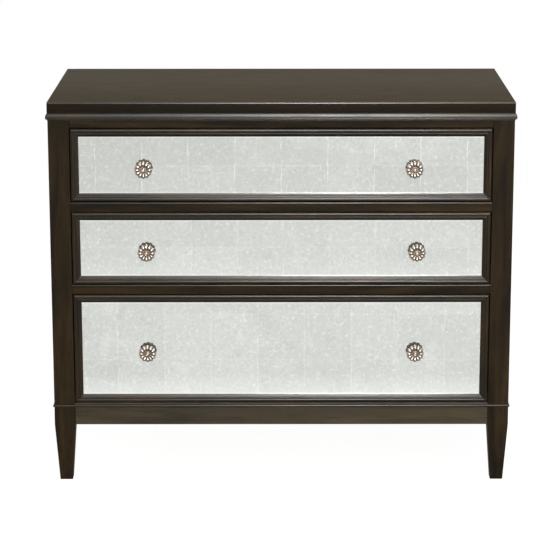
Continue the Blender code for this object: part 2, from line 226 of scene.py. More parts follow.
# %% Lamps
def add_lamp(name, place, target, width, height, watts):
    """A wide soft lamp that faces the target."""
    lamp = bpy.data.lights.new(name, "AREA")
    lamp.shape = "RECTANGLE"
    lamp.size = width
    lamp.size_y = height
    lamp.energy = watts
    holder = bpy.data.objects.new(name, lamp)
    holder.location = place
    holder.rotation_euler = (Vector(target) - Vector(place)).to_track_quat("-Z", "Y").to_euler()
    bpy.context.scene.collection.objects.link(holder)
    return holder


chest_middle, right_side = (0.0, 0.0, 0.45), (0.4, -0.2, 0.2)
# Of each lamp: its place, what it faces, its width and height, all in metres, and its watts
lamp_layout = {
    "front_lamp": ((0.0, -2.60, 2.10), chest_middle, 1.6, 2.2, 55),
    "shine_strip": ((0.24, -2.60, 1.90), chest_middle, 0.5, 2.6, 290),
    "overhead_lamp": ((0.45, -0.5, 2.8), chest_middle, 2.0, 1.0, 52),
    "left_lamp": ((-2.9, -0.8, 1.6), chest_middle, 1.2, 1.4, 18),
    "right_lamp": ((1.9, -2.0, 0.45), right_side, 0.9, 0.8, 21),
}
lamps = {name: add_lamp(name, *row) for name, row in lamp_layout.items()}
lamps["shine_strip"].visible_diffuse = False
print("Lamps:", len(lamps))

# %% [markdown]
# ## Espresso wood
#
# The chest is stained almost black-brown under a thin satin lacquer. Close up the stain is uneven: warm
# brown shows in broad bands along the grain, and fine pores are darker. Both are noise stretched along
# the grain, so one function makes the finish for any grain direction.
#
# What differs from piece to piece is how far the lacquer is rubbed up. Flat boards are dull, mouldings
# are satin, and beads, shoulders and rounded edges are polished, with their pores mostly filled. The arris
# of the top is rubbed most. The apron shows more of the warm brown under its lacquer and has softer bands.
# The upper face of the top has a lighter, warmer stain with softer bands, which is painted light from
# above. The edge of the top is plain, and the slope just above each panel has a near-black finish, which
# is painted shade.

# %% Grain of a board
fibre_stretch, band_stretch = 40, 12


def along(axis, lengthwise, crosswise):
    """A pattern scale with one value along this axis and another across it."""
    return tuple(lengthwise if axis == name else crosswise for name in "XYZ")


def wood_grain(tree, axis, fibre_scale, band_scale):
    """Fine fibres and broad bands, both stretched along the grain. Returns both, and the place they use."""
    place = add_node(tree, "ShaderNodeTexCoord").outputs["Object"]
    fibre_scales = along(axis, fibre_scale / fibre_stretch, fibre_scale)
    band_scales = along(axis, band_scale / band_stretch, band_scale)
    fine = add_node(tree, "ShaderNodeMapping", {"Vector": place, "Scale": fibre_scales}).outputs[0]
    broad = add_node(tree, "ShaderNodeMapping", {"Vector": place, "Scale": band_scales}).outputs[0]
    fibres = patterned(tree, fine, 1.0, detail=5.0, roughness=0.65)
    bands = patterned(tree, broad, 1.0, detail=3.0, roughness=0.55, distortion=0.8)
    return fibres, bands, place


print(f"Fibres are drawn out {fibre_stretch} times and bands {band_stretch} times along the grain")

# %% Espresso stain
espresso_fibres, espresso_bands = 620.0, 42.0
stain_dark = (0.0115, 0.0090, 0.0060, 1.0)
stain_warm = (0.0305, 0.0200, 0.0096, 1.0)
pore_dark = (0.0045, 0.0034, 0.0026, 1.0)
band_middle, band_half_width = 0.53, 0.15
pore_low, pore_high, pore_strength = 0.52, 0.70, 0.75
pore_depth, lacquer_ripple, ripple_scale = 0.00006, 0.00003, 260.0


def espresso_finish(name, axis, sheen, roughness, warm=stain_warm, contrast=1.0, relief_share=1.0):
    """Dark stained wood with the grain along one axis, more or less banded and more or less filled."""
    material, tree, shader = new_finish(name, Specular_IOR_Level=sheen)
    fibres, bands, place = wood_grain(tree, axis, espresso_fibres, espresso_bands)
    reach = band_half_width / contrast
    banding = rescaled(tree, bands, band_middle - reach, band_middle + reach)
    stain = blend_colours(tree, banding, stain_dark, warm)
    pores = rescaled(tree, fibres, pore_low, pore_high, 0.0, pore_strength)
    wood = blend_colours(tree, pores, stain, pore_dark)
    tree.links.new(wood, shader.inputs["Base Color"])
    uneven_gloss = rescaled(tree, fibres, 0.3, 0.7, roughness - 0.04, roughness + 0.07)
    tree.links.new(uneven_gloss, shader.inputs["Roughness"])
    lacquer = relief(tree, patterned(tree, place, ripple_scale), lacquer_ripple * relief_share)
    grain = relief(tree, fibres, pore_depth * relief_share, under=lacquer)
    tree.links.new(grain, shader.inputs["Normal"])
    return material


print(f"Espresso stain: pores {pore_depth * 1000:.2f} mm deep under the lacquer")

# %% Espresso finishes
# The lighter warm stain of the top is painted light from above
top_warm_painted_light = (0.0470, 0.0330, 0.0140, 1.0)
apron_warm = (0.0680, 0.0500, 0.0260, 1.0)
edge_warm = (0.0185, 0.0105, 0.0062, 1.0)
top_contrast, apron_contrast = 0.22, 0.38
# Sheen and roughness of each degree of rubbing, and of the painted shadow
dull, apron_rub, painted_shadow_sheen = (0.012, 0.50), (0.10, 0.42), (0.02, 0.60)
polish, arris_rub = (0.125, 0.27), (0.29, 0.36)
satin_sheens, satin_roughness = {"X": 0.09, "Y": 0.09, "Z": 0.06}, 0.30
filled_relief = 0.35
board_finish = {axis: espresso_finish(f"espresso_board_{axis.lower()}", axis, *dull) for axis in "XZ"}
satin_finish = {
    axis: espresso_finish(f"espresso_satin_{axis.lower()}", axis, sheen, satin_roughness)
    for axis, sheen in satin_sheens.items()
}
polished_finish = {
    axis: espresso_finish(f"espresso_polished_{axis.lower()}", axis, *polish, relief_share=filled_relief)
    for axis in "XY"
}
arris_finish = espresso_finish("espresso_arris", "X", *arris_rub, relief_share=filled_relief)
top_painted_light_finish = espresso_finish("espresso_top", "X", *dull, top_warm_painted_light, top_contrast)
edge_finish = espresso_finish("espresso_edge", "X", *dull, edge_warm)
apron_finish = espresso_finish("espresso_apron", "X", *apron_rub, apron_warm, apron_contrast)
# A near-black finish: painted shade for the slope just above each panel
painted_shadow_finish = espresso_finish("espresso_painted_shadow", "X", *painted_shadow_sheen, pore_dark)
print("Espresso finishes:", len([m for m in bpy.data.materials if m.name.startswith("espresso")]))

# %% [markdown]
# ## Maple and plywood
#
# The drawer boxes and their runners are pale hardwood, and the bottoms and the back are veneered plywood.
# They use the same stretched noise, in lighter colours and with fewer pores.

# %% Maple and plywood
pale_fibres, pale_bands = 420.0, 26.0
pale_sheen = 0.35
pore_share = 0.55
pale_pore_depth = 0.00008


def pale_wood_finish(name, axis, light, dark, roughness):
    """Pale sealed wood with the grain along one axis."""
    material, tree, shader = new_finish(name, Specular_IOR_Level=pale_sheen)
    fibres, bands, _ = wood_grain(tree, axis, pale_fibres, pale_bands)
    body = blend_colours(tree, rescaled(tree, bands, 0.30, 0.75), light, dark)
    pores = (*(value * pore_share for value in dark[:3]), 1.0)
    wood = blend_colours(tree, rescaled(tree, fibres, 0.50, 0.80, 0.0, 0.45), body, pores)
    tree.links.new(wood, shader.inputs["Base Color"])
    uneven_gloss = rescaled(tree, fibres, 0.3, 0.7, roughness, roughness + 0.10)
    tree.links.new(uneven_gloss, shader.inputs["Roughness"])
    tree.links.new(relief(tree, fibres, pale_pore_depth), shader.inputs["Normal"])
    return material


maple_light, maple_dark = (0.58, 0.43, 0.27, 1.0), (0.46, 0.31, 0.17, 1.0)
plywood_light, plywood_dark = (0.52, 0.37, 0.22, 1.0), (0.37, 0.24, 0.13, 1.0)
maple_roughness, plywood_roughness = 0.42, 0.55
maple_finish = {
    axis: pale_wood_finish(f"maple_{axis.lower()}", axis, maple_light, maple_dark, maple_roughness)
    for axis in "XY"
}
plywood_finish = {
    axis: pale_wood_finish(f"plywood_{axis.lower()}", axis, plywood_light, plywood_dark, plywood_roughness)
    for axis in "XZ"
}
print("Pale wood finishes:", len(maple_finish) + len(plywood_finish))

# %% [markdown]
# ## Silver leaf
#
# Each drawer front is a panel laid with silver leaf in squares of 96 to 98 mm under a clear glaze. The
# gilder starts each drawer at another place, so each has a finish of its own. Neighbouring leaves differ
# a little in tone and overlap in fine pale seams that waver. A brick pattern without offset gives the
# squares and a tone for each, and a fold of the distance at every leaf gives the seams.

# %% Leaves and seams
seam_width = 0.0016
waver_scale, waver_reach = 34.0, 0.007
leaf_cool = (0.522, 0.541, 0.506, 1.0)
leaf_warm = (0.565, 0.575, 0.545, 1.0)


def vector_math(tree, operation, inputs):
    """Two vectors, or a vector and a number, combined by one operation."""
    return add_node(tree, "ShaderNodeVectorMath", inputs, operation=operation).outputs[0]


def hand_laid_place(tree, place):
    """The place with a small soft waver added, as in leaf that is laid by hand."""
    inputs = {"Vector": place, "Scale": waver_scale, "Detail": 3.0}
    waver = add_node(tree, "ShaderNodeTexNoise", inputs).outputs["Color"]
    shift = vector_math(tree, "SUBTRACT", {0: waver, 1: (0.5, 0.5, 0.5)})
    return vector_math(tree, "ADD", {0: place, 1: vector_math(tree, "SCALE", {0: shift, 3: waver_reach})})


def leaf_squares(tree, across, up, pitch):
    """The tone of each leaf."""
    flat = add_node(tree, "ShaderNodeCombineXYZ", {0: across, 1: up, 2: 0.0}).outputs[0]
    inputs = {"Vector": flat, "Color1": leaf_cool, "Color2": leaf_warm, "Scale": 1.0}
    inputs.update({"Mortar Size": 0.0, "Bias": 0.1, "Brick Width": pitch, "Row Height": pitch})
    return add_node(tree, "ShaderNodeTexBrick", inputs, offset=0.0, squash=1.0).outputs["Color"]


def seam_lines(tree, distance, pitch, strength):
    """The strength on every multiple of the leaf pitch, and 0 a seam's width away from it."""
    away = combined(tree, "PINGPONG", distance, pitch / 2)
    return rescaled(tree, away, seam_width, seam_width / 3, 0.0, strength)


print(f"Leaf: seams {seam_width * 1000:.1f} mm wide that waver by up to {waver_reach * 500:.1f} mm")

# %% [markdown]
# ### Age of the silver
#
# The silver is mottled with soft clouds, pale and grey flecks, fine grit and hairline creases. Each is
# noise or cells at its own scale that blends a little of the tarnish or of the pale tone over the leaf.
# Close to the moulding the leaf is paler, which is painted light, and on the lower drawers a broad painted
# light lies over the foot.

# %% Clouds, flecks and creases
tarnish = (0.350, 0.360, 0.335, 1.0)
seam_pale = (0.800, 0.810, 0.780, 1.0)
cloud_scale, fleck_scale, grit_scale = 18.0, 150.0, 320.0
crease_scale, crease_width, crease_strength = 46.0, 0.035, 0.30
# From the first to the second value of a pattern, its colour comes in from the third to the fourth
dark_clouds, pale_clouds = (0.56, 0.78, 0.0, 0.36), (0.44, 0.24, 0.0, 0.34)
pale_flecks, dark_flecks = (0.54, 0.68, 0.0, 0.42), (0.44, 0.28, 0.0, 0.30)
dark_grit = (0.60, 0.74, 0.0, 0.28)


def mottled(tree, place, clouds, tone):
    """The tone with clouds, flecks and grit over it."""
    flecks = patterned(tree, place, fleck_scale, detail=4.0, roughness=0.6, distortion=0.5)
    grit = patterned(tree, place, grit_scale, detail=3.0, roughness=0.7)
    for pattern, reach, colour in (
        (clouds, dark_clouds, tarnish),
        (clouds, pale_clouds, seam_pale),
        (flecks, pale_flecks, seam_pale),
        (flecks, dark_flecks, tarnish),
        (grit, dark_grit, tarnish),
    ):
        tone = blend_colours(tree, rescaled(tree, pattern, *reach), tone, colour)
    return tone


def hairline_creases(tree, place):
    """Fine lines between irregular cells, as where leaf creased when it was laid."""
    inputs = {"Vector": place, "Scale": crease_scale}
    cells = add_node(tree, "ShaderNodeTexVoronoi", inputs, feature="DISTANCE_TO_EDGE")
    return rescaled(tree, cells.outputs["Distance"], crease_width, 0.0, 0.0, crease_strength)


print("Five kinds of mottling, and creases in cells of about", round(1000 / crease_scale), "mm")

# %% Painted light at the edge and foot
painted_edge_band, painted_foot_band = 0.0036, 0.045
painted_edge_strength = 0.55
painted_light_colour = (0.86, 0.87, 0.84, 1.0)


def painted_light_at_edges(tree, height, sight_low, sight_high, foot_painted_light, tone):
    """The tone, with painted light along the moulding above and below the panel, and over a broad foot."""
    half = (sight_high - sight_low) / 2
    from_middle = combined(tree, "SUBTRACT", height, (sight_low + sight_high) / 2)
    from_middle = combined(tree, "ABSOLUTE", from_middle)
    painted_edge_light = rescaled(tree, from_middle, half - painted_edge_band, half, 0.0, painted_edge_strength)
    tone = blend_colours(tree, painted_edge_light, tone, painted_light_colour)
    painted_foot_light = rescaled(tree, height, sight_low, sight_low + painted_foot_band, foot_painted_light, 0.0)
    return blend_colours(tree, painted_foot_light, tone, painted_light_colour)


print(f"Paler over {painted_edge_band * 1000:.1f} mm at the moulding and {painted_foot_band * 1000:.0f} mm at the foot")

# %% [markdown]
# ### The leaf under its glaze
#
# The panel is metal under a clear coat, so it mirrors the knobs and the floor. Its roughness follows the
# clouds, a broad shallow unevenness bends the reflections, and seams and creases stand up a little.

# %% Silver leaf finish
glaze_weight, glaze_roughness = 0.25, 0.05
leaf_roughness = (0.25, 0.75, 0.08, 0.16)
uneven_depth, seam_depth = 0.0006, 0.00002
level_seam_share = 0.5
break_scale = 45.0


def silver_leaf_finish(name, leaf_corner, pitch, seam_strength, sight_low, sight_high, foot_painted_light):
    """Leaf whose squares start at this corner. The sight is what shows inside the moulding."""
    material, tree, shader = new_finish(
        name,
        Metallic=0.92,
        Coat_Weight=glaze_weight,
        Coat_Roughness=glaze_roughness,
    )
    place = add_node(tree, "ShaderNodeTexCoord").outputs["Object"]
    hand_laid = hand_laid_place(tree, place)
    parts = add_node(tree, "ShaderNodeSeparateXYZ", {0: hand_laid}).outputs
    across = combined(tree, "SUBTRACT", parts["X"], leaf_corner[0])
    up = combined(tree, "SUBTRACT", parts["Z"], leaf_corner[1])
    upright = seam_lines(tree, across, pitch, seam_strength)
    level = seam_lines(tree, up, pitch, seam_strength * level_seam_share)
    broken = rescaled(tree, patterned(tree, place, break_scale, detail=3.0), 0.36, 0.58, 0.10, 1.0)
    seams = combined(tree, "MULTIPLY", combined(tree, "MAXIMUM", upright, level), broken)
    tone = blend_colours(tree, seams, leaf_squares(tree, across, up, pitch), seam_pale)

    clouds = patterned(tree, place, cloud_scale, detail=4.0, roughness=0.6, distortion=0.4)
    tone = mottled(tree, place, clouds, tone)
    creases = hairline_creases(tree, hand_laid)
    tone = blend_colours(tree, combined(tree, "MULTIPLY", creases, broken), tone, seam_pale)
    # Painted light along the moulding and over the foot
    height = add_node(tree, "ShaderNodeSeparateXYZ", {0: place}).outputs["Z"]
    tone = painted_light_at_edges(tree, height, sight_low, sight_high, foot_painted_light, tone)
    tree.links.new(tone, shader.inputs["Base Color"])

    tree.links.new(rescaled(tree, clouds, *leaf_roughness), shader.inputs["Roughness"])
    uneven = relief(tree, clouds, uneven_depth, strength=0.25)
    ridges = relief(tree, combined(tree, "MAXIMUM", seams, creases), seam_depth, under=uneven)
    tree.links.new(ridges, shader.inputs["Normal"])
    return material


print(f"Glaze: {glaze_weight:.0%} of a clear coat")

# %% Leaf of the three drawers
moulding_width = 0.0168
# The squares are counted from a corner this many leaves beyond the seam, past the panel's edge
leaves_beyond = 5
# Of each drawer: a seam's place across and up, the leaf pitch, how strong the seams are and how strong
# the painted light over the foot is
leaf_layout = (
    (-0.3830, 0.6790, 0.0957, 0.68, 0.00),
    (-0.3788, 0.5074, 0.0958, 0.34, 0.15),
    (-0.3427, 0.3635, 0.0978, 0.31, 0.40),
)
leaf_finish = []
for number, (seam_across, seam_up, pitch, strength, foot) in enumerate(leaf_layout, start=1):
    low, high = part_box(f"drawer_{number}_front_board")
    corner = (seam_across - leaves_beyond * pitch, seam_up - leaves_beyond * pitch)
    sight = low.z + moulding_width, high.z - moulding_width
    leaf_finish.append(silver_leaf_finish(f"silver_leaf_{number}", corner, pitch, strength, *sight, foot))
print("Silver leaf finishes:", len(leaf_finish))

# %% [markdown]
# ## Dress the carried-over boards
#
# Flat boards already have the right shape in the frame, so they keep it and only take a finish. The
# grain runs along each board's length: upright in posts and side panels, across in rails and aprons.

# %% Finish of every board
def finish_for(name):
    """The finish of a board, by its name."""
    if name.endswith("silver_panel"):
        return leaf_finish[int(name.split("_")[1]) - 1]
    if "_runner_" in name or "_side_left" in name or "_side_right" in name:
        return maple_finish["Y"]
    if name == "back_panel":
        return plywood_finish["Z"]
    if name.startswith("drawer_") and name.endswith("_bottom") and "moulding" not in name:
        return plywood_finish["X"]
    if name.startswith("drawer_") and name.endswith("_back"):
        return maple_finish["X"]
    if name == "front_apron":
        return apron_finish
    if "post" in name or "side_panel" in name:
        return board_finish["Z"]
    return board_finish["X"]


for name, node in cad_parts.items():
    node.data.materials.clear()
    node.data.materials.append(finish_for(name))
print("Boards dressed:", len(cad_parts))

# %% [markdown]
# ## Helpers for modelling
#
# Long mouldings are drawn as a section and then given their length. The section starts from one point:
# a plane merged to its centre. Straight sides are extruded from that point, and round sides are spun
# about the centre of their arc. A rise says how far the middle of an arc stands off its chord, as a
# joiner would note it on a drawing. Points, edges and faces are picked by where they lie.

# %% Start and copy
seed_size = 0.001


def select_only(*pieces):
    """Selects these pieces and nothing else. The first one is the active one."""
    bpy.ops.object.select_all(action="DESELECT")
    for piece in pieces:
        piece.select_set(True)
    bpy.context.view_layer.objects.active = pieces[0]


def copy_of(pattern, name):
    """A copy of the pattern with a mesh of its own."""
    select_only(pattern)
    bpy.ops.object.duplicate(linked=False)
    piece = bpy.context.object
    piece.name = piece.data.name = name
    return piece


def start_point(name, place):
    """A new mesh with a single point at this place, left in edit mode."""
    bpy.ops.object.select_all(action="DESELECT")
    bpy.ops.mesh.primitive_plane_add(size=seed_size, location=place)
    piece = bpy.context.object
    piece.name = piece.data.name = name
    bpy.context.tool_settings.mesh_select_mode = (True, False, False)
    bpy.ops.object.mode_set(mode="EDIT")
    bpy.ops.mesh.select_all(action="SELECT")
    bpy.ops.mesh.merge(type="CENTER")
    return piece


print(f"A section starts from a plane of {seed_size * 1000:.0f} mm")

# %% Pick by place
hair = 0.00002


def choose(piece, kind, test):
    """Selects only those points, edges or faces whose place passes the test. Returns how many."""
    bpy.ops.mesh.select_all(action="DESELECT")
    form = bmesh.from_edit_mesh(piece.data)
    bpy.context.tool_settings.mesh_select_mode = (kind == "verts", kind == "edges", kind == "faces")
    count = 0
    for item in getattr(form, kind):
        if kind == "verts":
            place = item.co
        else:
            place = sum((v.co for v in item.verts), Vector()) / len(item.verts)
        if test(piece.matrix_world @ place):
            item.select_set(True)
            count += 1
    form.select_flush_mode()
    bmesh.update_edit_mesh(piece.data)
    return count


print(f"Places are told apart down to {hair * 1000:.2f} mm")

# %% Sections
weld_reach = 0.00001


def draw_section(name, place, across, out, outline, arc_steps=8):
    """A filled flat section from rows of (across, out, rise of the side that leads there)."""
    across, out = Vector(across), Vector(out)
    axis = across.cross(out)
    first = outline[0]
    here = Vector((first[0], first[1]))
    piece = start_point(name, Vector(place) + across * here.x + out * here.y)
    for far, high, rise in outline[1:] + ((first[0], first[1], 0.0),):
        there = Vector((far, high))
        chord = there - here
        if rise:
            radius = (chord.length_squared / 4 + rise * rise) / (2 * abs(rise))
            left = Vector((-chord.y, chord.x)).normalized()
            centre = (here + there) / 2 - left * math.copysign(radius - abs(rise), rise)
            from_centre, to_centre = here - centre, there - centre
            turned = from_centre.x * to_centre.y - from_centre.y * to_centre.x
            sweep = math.atan2(turned, from_centre.dot(to_centre))
            spot = Vector(place) + across * centre.x + out * centre.y
            bpy.ops.mesh.spin(steps=arc_steps, angle=-sweep, center=spot, axis=axis)
        else:
            step = across * chord.x + out * chord.y
            bpy.ops.mesh.extrude_vertices_move(TRANSFORM_OT_translate={"value": step})
        here = there
    bpy.ops.mesh.select_all(action="SELECT")
    bpy.ops.mesh.remove_doubles(threshold=weld_reach)
    bpy.ops.mesh.edge_face_add()
    return piece


def lengthen(way):
    """Extrudes the selected section along its length."""
    bpy.ops.mesh.extrude_region_move(TRANSFORM_OT_translate={"value": way})


def mitre(corner, beyond):
    """Cuts off all that lies beyond a plane through the corner and closes the cut."""
    bpy.ops.mesh.select_all(action="SELECT")
    bpy.ops.mesh.bisect(plane_co=corner, plane_no=beyond, use_fill=True, clear_outer=True)


print("Section helpers are ready")


# %% Finish a piece
def finish_piece(piece, material, smooth_angle=35.0):
    """Leaves edit mode, points the faces out, applies the object's place and shades it smooth."""
    bpy.ops.mesh.select_all(action="SELECT")
    bpy.ops.mesh.normals_make_consistent(inside=False)
    bpy.ops.object.mode_set(mode="OBJECT")
    select_only(piece)
    bpy.ops.object.transform_apply(location=True, rotation=True, scale=True)
    bpy.ops.object.shade_smooth_by_angle(angle=math.radians(smooth_angle))
    piece.data.materials.clear()
    piece.data.materials.append(material)
    return piece


def add_finish(piece, material, test):
    """Gives a second finish to the faces that pass the test. Returns how many."""
    piece.data.materials.append(material)
    bpy.ops.object.mode_set(mode="EDIT")
    count = choose(piece, "faces", test)
    piece.active_material_index = len(piece.data.materials) - 1
    bpy.ops.object.material_slot_assign()
    bpy.ops.object.mode_set(mode="OBJECT")
    return count


def stand_for(piece, body, node):
    """The piece moves with the body and is shown in place of the node."""
    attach(piece, body)
    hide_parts(node)


print("Finishing helpers are ready")

# %% [markdown]
# ## The top and the rails
#
# The top is one flat slab that stands out a hair past the sides. Its upper front edge is rounded over, and
# in the light that rounding is a thin pale line; its other edges are only eased. The two rails between
# the drawers have their upper front edge rounded the same way. A cube at the board's size with those
# edges bevelled in several steps gives it. Fingers polish a rounded edge, so it takes a brighter finish
# while the flat sides stay dull. The frame's boards have these sizes, so the new ones take their place.

# %% A board with a rounded edge
edge_round, round_steps = 0.0028, 6
edge_ease, ease_steps = 0.0010, 3
edge_reach = 0.001
sharp_angle = 60


def eased_board(name, node, edge_place, flat_finish, round_finish, ease_others=False):
    """A board at the node's size, with one edge rounded over and, on request, all the others eased."""
    low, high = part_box(node)
    bpy.ops.object.select_all(action="DESELECT")
    bpy.ops.mesh.primitive_cube_add(size=1, location=(low + high) / 2, scale=high - low)
    piece = bpy.context.object
    piece.name = piece.data.name = name
    bpy.ops.object.transform_apply(location=True, rotation=True, scale=True)
    bpy.ops.object.mode_set(mode="EDIT")
    choose(piece, "edges", lambda place: (place - edge_place).length < edge_reach)
    bpy.ops.mesh.bevel(offset=edge_round, segments=round_steps, affect="EDGES")
    if ease_others:
        bpy.ops.mesh.select_all(action="DESELECT")
        bpy.ops.mesh.edges_select_sharp(sharpness=math.radians(sharp_angle))
        bpy.ops.mesh.bevel(offset=edge_ease, segments=ease_steps, affect="EDGES")
    finish_piece(piece, flat_finish)

    def off_the_flat(place):
        return all(min(place[way] - low[way], high[way] - place[way]) > hair for way in range(3))

    rubbed = add_finish(piece, round_finish, off_the_flat)
    stand_for(piece, "carcass", node)
    print(f"{name}: {rubbed} polished faces, {[round(v, 4) for v in piece.dimensions]}")
    return piece


def upper_front_edge(node):
    """The middle of the node's upper front edge."""
    low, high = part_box(node)
    return Vector(((low.x + high.x) / 2, low.y, high.z))


print(f"Edges are rounded by {edge_round * 1000:.1f} mm and eased by {edge_ease * 1000:.1f} mm")

# %% Top and rails
top_edge = upper_front_edge("top_slab")
top = eased_board("rounded_top", "top_slab", top_edge, edge_finish, arris_finish, ease_others=True)
# The upper face takes the lighter stain: painted light from above
add_finish(top, top_painted_light_finish, lambda place: place.z > top_edge.z - hair)
for node in ("upper_drawer_rail", "lower_drawer_rail"):
    eased_board(f"eased_{node}", node, upper_front_edge(node), board_finish["X"], polished_finish["X"])

# %% [markdown]
# ## The beads
#
# A bead runs round the front and both sides under the top, and a smaller plain one under the lowest drawer.
# The upper one has a slope above an upright face, a narrow groove, a small round and a flat listel, and
# each of those gives its own fine line of light. Both are three lengths that meet in mitres at the front
# corners. The section is drawn once for each length, extruded past the corner and cut there at 45
# degrees. All of it is polished but the upright face of the upper bead, which fingers reach less.

# %% Sections of the beads
seat_gap = 0.0003
# Sections in shares of the bead's height and of how far it stands out, with the rise of each round side
top_bead_shares = (
    (0.000, 0.262, 0.00),
    (0.060, 0.262, 0.00),
    (0.130, 0.130, 0.03),
    (0.145, 0.780, 0.00),
    (0.290, 0.900, 0.10),
    (0.315, 0.800, 0.00),
    (0.340, 1.000, 0.00),
    (0.600, 0.930, 0.02),
    (0.970, 0.320, 0.10),
)
base_bead_shares = ((0.230, 0.380, 0.00), (0.810, 0.380, 0.62))


def bead_outline(height, proud, shares):
    """Section of a bead as (up, out, rise), from its lower back corner."""
    face = [(height * up, proud * out, proud * rise) for up, out, rise in shares]
    return ((face[0][0], seat_gap, 0), *face, (face[-1][0], seat_gap, 0))


print(f"The beads have {len(top_bead_shares)} and {len(base_bead_shares)} points on their faces")

# %% One length of bead
mitre_gap = 0.00015
bead_arc_steps = 12
# The upright face of the upper bead, in shares of its height, stays satin
satin_low, satin_high = 0.30, 0.62


def bead_length(name, node, place, out, outline, start, way, cuts):
    """One length of bead with its mitres."""
    end = Vector(place) + Vector(start)
    piece = draw_section(name, end, (0, 0, 1), out, outline, arc_steps=bead_arc_steps)
    lengthen(way)
    for corner, beyond in cuts:
        mitre(Vector(corner) + Vector(beyond) * -mitre_gap, beyond)
    axis = "X" if abs(way[0]) > abs(way[1]) else "Y"
    finish_piece(piece, polished_finish[axis])
    if node.startswith("top_bead"):
        foot, head = outline[0][0], outline[-1][0]
        low = place[2] + foot + satin_low * (head - foot)
        high = place[2] + foot + satin_high * (head - foot)
        add_finish(piece, satin_finish[axis], lambda spot: low < spot.z < high)
    stand_for(piece, "carcass", node)


print(f"Mitres are left open by {mitre_gap * 2000:.1f} mm")

# %% Six lengths of bead
front, rear = (corner.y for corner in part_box("top_slab"))
half_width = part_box("front_right_post")[1].x
diagonal = 1 / math.sqrt(2)
overshoot = 0.02
bead_drop = 0.0003
for name, shares, drop in (("top_bead", top_bead_shares, bead_drop), ("base_bead", base_bead_shares, 0.0)):
    low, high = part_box(f"{name}_front")
    height = high.z - low.z
    proud = front - low.y
    outline = bead_outline(height, proud, shares)
    level = low.z - drop
    left_corner, right_corner = (-half_width, front, level), (half_width, front, level)
    bead_length(
        f"{name}_front_length",
        f"{name}_front",
        (0, front, level),
        (0, -1, 0),
        outline,
        (-half_width - overshoot, 0, 0),
        (2 * (half_width + overshoot), 0, 0),
        ((left_corner, (-diagonal, diagonal, 0)), (right_corner, (diagonal, diagonal, 0))),
    )
    for hand, side in (("left", -1), ("right", 1)):
        corner = (side * half_width, front, level)
        bead_length(
            f"{name}_{hand}_length",
            f"{name}_{hand}",
            corner,
            (side, 0, 0),
            outline,
            (0, -overshoot, 0),
            (0, rear - front + overshoot, 0),
            ((corner, (-side * diagonal, -diagonal, 0)),),
        )
    print(f"{name}: {height * 1000:.1f} mm high, {proud * 1000:.1f} mm proud")

# %% [markdown]
# ## The drawer mouldings
#
# Four mitred strips frame each silvered panel. Going inwards, the section has a rounded shoulder, a
# quirk, a shallow hollow, a small step and a slope down to a lip over the panel. These rounds and quirks
# give the fine bright and dark lines round each drawer. One strip is drawn above the middle of the
# drawer, and the object is turned a quarter at a time for the other sides, with the length to suit.
# Hands rub the level strips bright where they stand proud, and the upright ones stay satin.

# %% Section of the mouldings
moulding_height = 0.0102
panel_thickness = 0.0035
panel_tuck = 0.006
lip = panel_thickness + seat_gap
# Face in shares of the moulding's width and height, with the rise of each round side in shares of height
moulding_face_shares = (
    (0.000, 0.520, 0.00),
    (0.180, 1.000, 0.09),
    (0.420, 0.950, 0.04),
    (0.460, 0.820, 0.00),
    (0.520, 0.800, 0.00),
    (0.540, 0.850, 0.00),
    (0.720, 0.750, 0.05),
    (0.740, 0.670, 0.00),
    (0.955, 0.452, -0.01),
    (1.000, 0.450, 0.00),
)


def moulding_outline():
    """Section of a strip as (inwards, out, rise), from its outer back corner."""
    rebate = moulding_width - panel_tuck - seat_gap
    width, height = moulding_width, moulding_height
    face = [(width * a, height * b, height * c) for a, b, c in moulding_face_shares]
    return ((0, 0, 0), *face, (width, lip, 0), (rebate, lip, 0), (rebate, 0, 0))


print(f"Mouldings are {moulding_width * 1000:.1f} mm wide and {moulding_height * 1000:.1f} mm high")

# %% One strip of moulding
top_round_share, bottom_inside_share = 0.18, 0.30
painted_shadow_share = 0.82
strip_smooth_angle = 28.0


def is_rubbed(hand, share):
    """True where a level strip is bright: the top one on its outer round, the bottom one inside it."""
    return share < top_round_share if hand == "top" else share > bottom_inside_share


def moulding_strip(drawer, hand, low, high, turn):
    """One strip, drawn above the drawer's middle and then turned to its side of the drawer."""
    middle = (low + high) / 2
    half_length, reach = (high.x - low.x) / 2, (high.z - low.z) / 2
    if hand in ("left", "right"):
        half_length, reach = reach, half_length
    place = Vector((-half_length, 0, reach))
    piece = draw_section(f"{drawer}_frame_{hand}", place, (0, 0, -1), (0, -1, 0), moulding_outline())
    lengthen((2 * half_length, 0, 0))
    for side in (-1, 1):
        corner = (side * (half_length - mitre_gap), 0, reach)
        mitre(corner, (side * diagonal, 0, -diagonal))
    bpy.ops.object.mode_set(mode="OBJECT")
    bpy.ops.object.transform_apply(location=True)
    piece.rotation_euler.y = turn
    piece.location = (middle.x, high.y, middle.z)
    bpy.ops.object.mode_set(mode="EDIT")
    if hand in ("left", "right"):
        finish_piece(piece, satin_finish["Z"], strip_smooth_angle)
    else:
        finish_piece(piece, satin_finish["X"], strip_smooth_angle)
        edge, side = (high.z, 1) if hand == "top" else (low.z, -1)

        def inwards(place):
            return (edge - place.z) * side / moulding_width

        add_finish(piece, polished_finish["X"], lambda place: is_rubbed(hand, inwards(place)))
        # The inner slope of the top strip takes the near-black finish: painted shade along the panel's
        # upper edge
        if hand == "top":
            add_finish(piece, painted_shadow_finish, lambda place: inwards(place) > painted_shadow_share)
    stand_for(piece, drawer, f"{drawer}_moulding_{hand}")
    return piece


print(f"The top strip is rubbed over {top_round_share:.0%} of its width")

